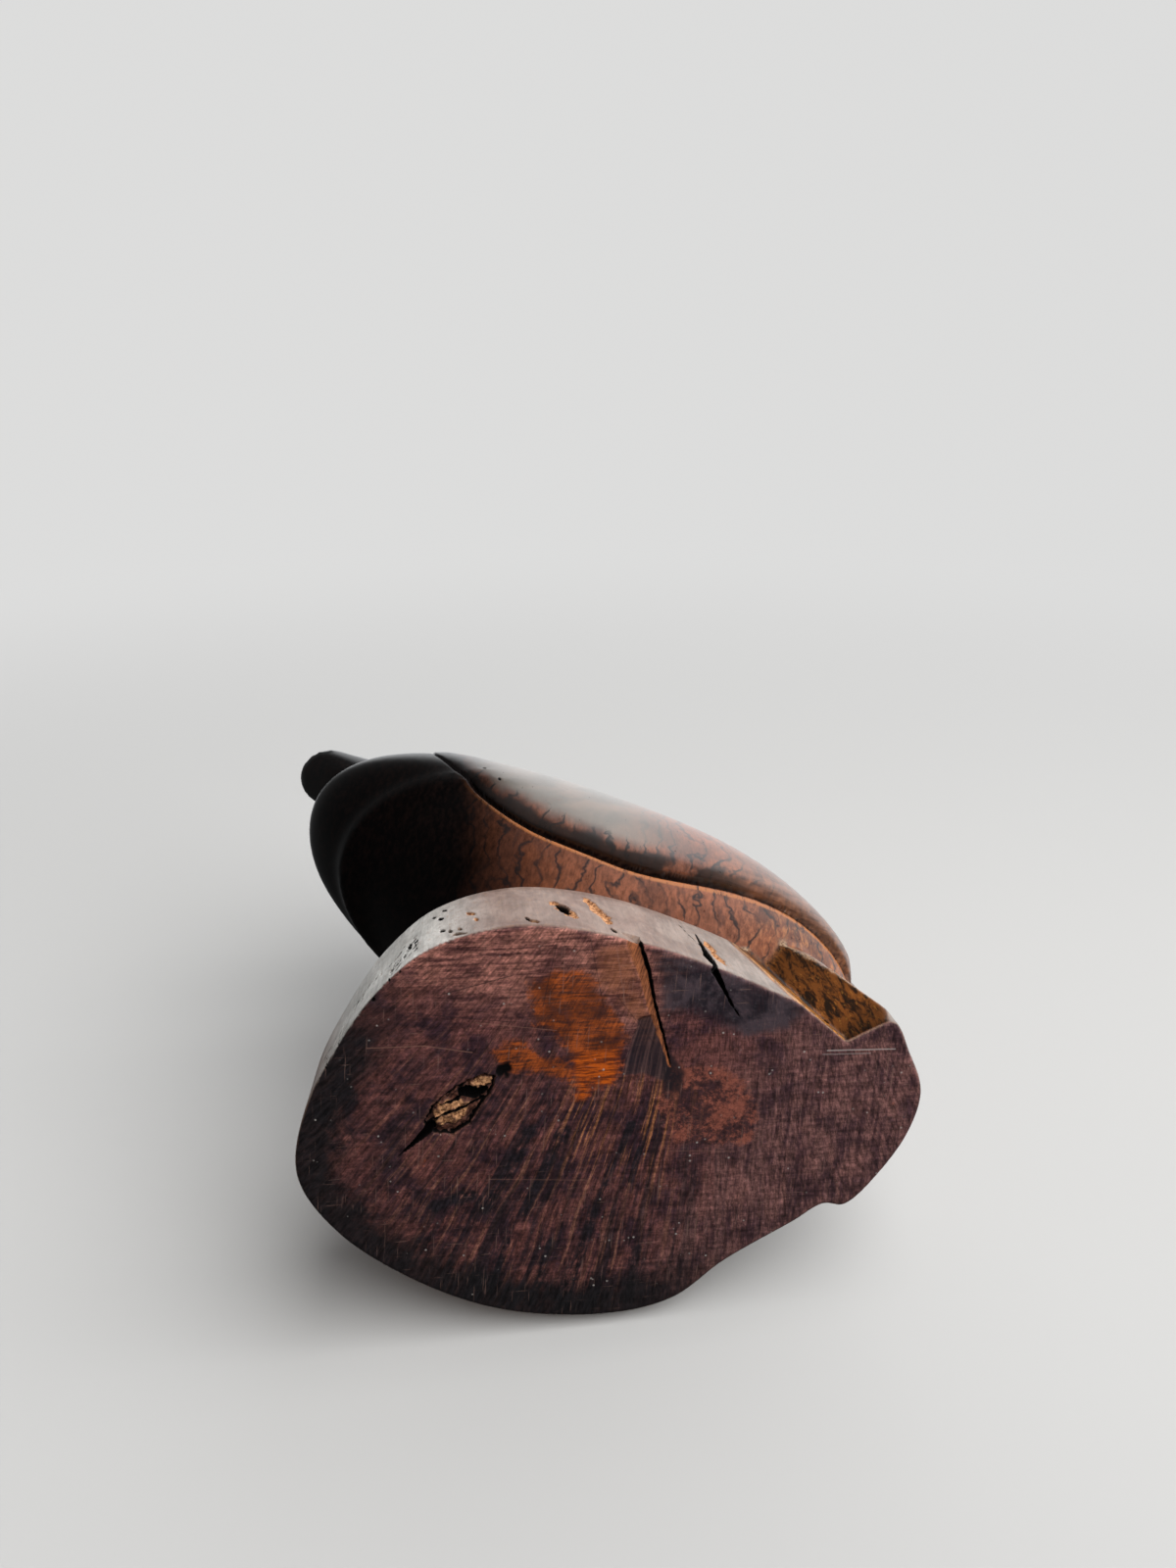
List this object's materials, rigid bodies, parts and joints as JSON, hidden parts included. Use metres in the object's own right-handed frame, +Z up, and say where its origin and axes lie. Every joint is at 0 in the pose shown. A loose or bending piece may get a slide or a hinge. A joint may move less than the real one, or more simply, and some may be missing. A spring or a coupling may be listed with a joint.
{
  "type": "carved ironwood duck figurine",
  "caption": "Duck with folded wings and turned-up tail carved in one piece with the thick natural-edge slab it sits on, polished dark hardwood, flat sawn underside.",
  "frame": {"origin": "centre of the bounding box, at the height of the flat underside", "axes": "+X the way the duck faces, +Y its left side, +Z up from the sawn underside"},
  "size_m": [0.155, 0.0998, 0.1455],
  "materials": {
    "ironwood": "dark purple-brown to red-brown heartwood, waxed and polished to a satin gloss, underside plain sawn"
  },
  "bodies": {
    "root": {"ironwood_duck": "ironwood"}
  },
  "joints": []
}
